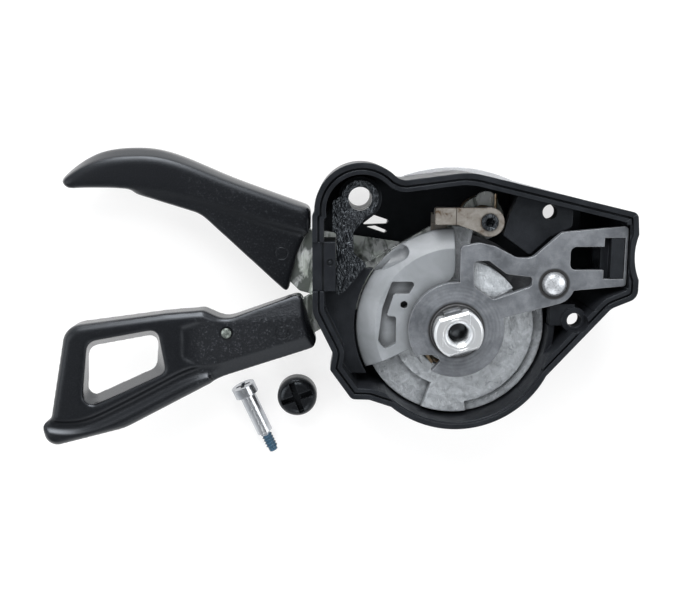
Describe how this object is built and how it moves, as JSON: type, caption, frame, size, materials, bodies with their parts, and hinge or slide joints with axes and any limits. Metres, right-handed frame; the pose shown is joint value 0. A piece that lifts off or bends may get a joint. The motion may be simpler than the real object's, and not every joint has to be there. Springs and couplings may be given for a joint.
{
  "type": "trigger gear shifter",
  "caption": "Handlebar trigger gear shifter lying on its outer cover with the base open, showing its cable drum, pawls, retaining plate and two thumb and finger levers.",
  "frame": {"origin": "on the main axle, at the flat of the outer cover that the part lies on", "axes": "+X towards the cable exit and away from the levers, +Y towards the mounting ear, +Z along the main axle out of the open base"},
  "size_m": [0.1171, 0.0663, 0.0262],
  "materials": {
    "black_moulding": "fine moulded grain",
    "silver_cover": "satin silver-grey",
    "black_steel": "black coated and greasy",
    "dark_plate": "dark phosphate",
    "zinc_steel": "bright zinc plated",
    "cast_grey": "as cast, greasy",
    "grey_drum": "grey moulded",
    "tan_pawl": "nickel plated, stained",
    "spring_wire": "drawn wire"
  },
  "bodies": {
    "housing": {"case_floor": "black_moulding", "case_wall_end": "black_moulding", "case_wall_upper": "black_moulding", "case_wall_ear": "black_moulding", "case_wall_left": "black_moulding", "case_wall_bay": "black_moulding", "case_wall_lower": "black_moulding", "base_screw_pad": "black_moulding", "base_screw_boss": "black_moulding", "mount_boss": "black_moulding", "cable_port_boss": "black_moulding", "cable_exit_boss": "black_moulding", "outer_cover": "silver_cover", "mount_plate": "black_steel", "main_axle": "zinc_steel", "lever_spacer": "zinc_steel", "axle_nut": "zinc_steel", "lock_washer": "zinc_steel", "top_plate": "dark_plate", "plate_post": "zinc_steel", "pawl_pin": "black_steel", "shoulder_screw": "zinc_steel", "cable_port_plug": "black_moulding", "winder_spring": "spring_wire", "lever_spring": "spring_wire", "pawl_spring": "spring_wire", "release_spring": "spring_wire"},
    "winder": {"index_disc": "cast_grey", "index_ring": "dark_plate", "feed_ratchet": "dark_plate", "cable_drum": "grey_drum"},
    "main_lever": {"main_lever_plate": "zinc_steel", "main_lever_paddle": "black_moulding", "feed_pawl_pin": "zinc_steel"},
    "feed_pawl": {"feed_pawl": "tan_pawl"},
    "release_lever": {"release_lever_plate": "zinc_steel", "release_lever_grip": "black_moulding", "release_lever_rivet": "zinc_steel"},
    "hold_pawl": {"hold_pawl": "tan_pawl"}
  },
  "joints": [
    {"name": "winder_turn", "type": "hinge", "parent": "housing", "child": "winder", "pos_m": [0, 0, 0.014], "axis": [0, 0, 1], "range_deg": [-44, 0]},
    {"name": "main_lever_swing", "type": "hinge", "parent": "housing", "child": "main_lever", "pos_m": [0, 0, 0.0078], "axis": [0, 0, 1], "range_deg": [0, 22], "stiffness_Nm_per_rad": 0.2},
    {"name": "feed_pawl_tilt", "type": "hinge", "parent": "main_lever", "child": "feed_pawl", "pos_m": [-0.00739, -0.00881, 0.01], "axis": [0, 0, 1], "range_deg": [0, 10], "stiffness_Nm_per_rad": 0.01},
    {"name": "release_lever_swing", "type": "hinge", "parent": "housing", "child": "release_lever", "pos_m": [0.0061, 0.0207, 0.016], "axis": [0, 0, 1], "range_deg": [-10, 0], "stiffness_Nm_per_rad": 0.2},
    {"name": "hold_pawl_tilt", "type": "hinge", "parent": "housing", "child": "hold_pawl", "pos_m": [0.0061, 0.0207, 0.016], "axis": [0, 0, 1], "range_deg": [-5, 0]}
  ],
  "couplings": [
    {"joint": "hold_pawl_tilt", "follows": "release_lever_swing", "ratio": 0.5}
  ]
}
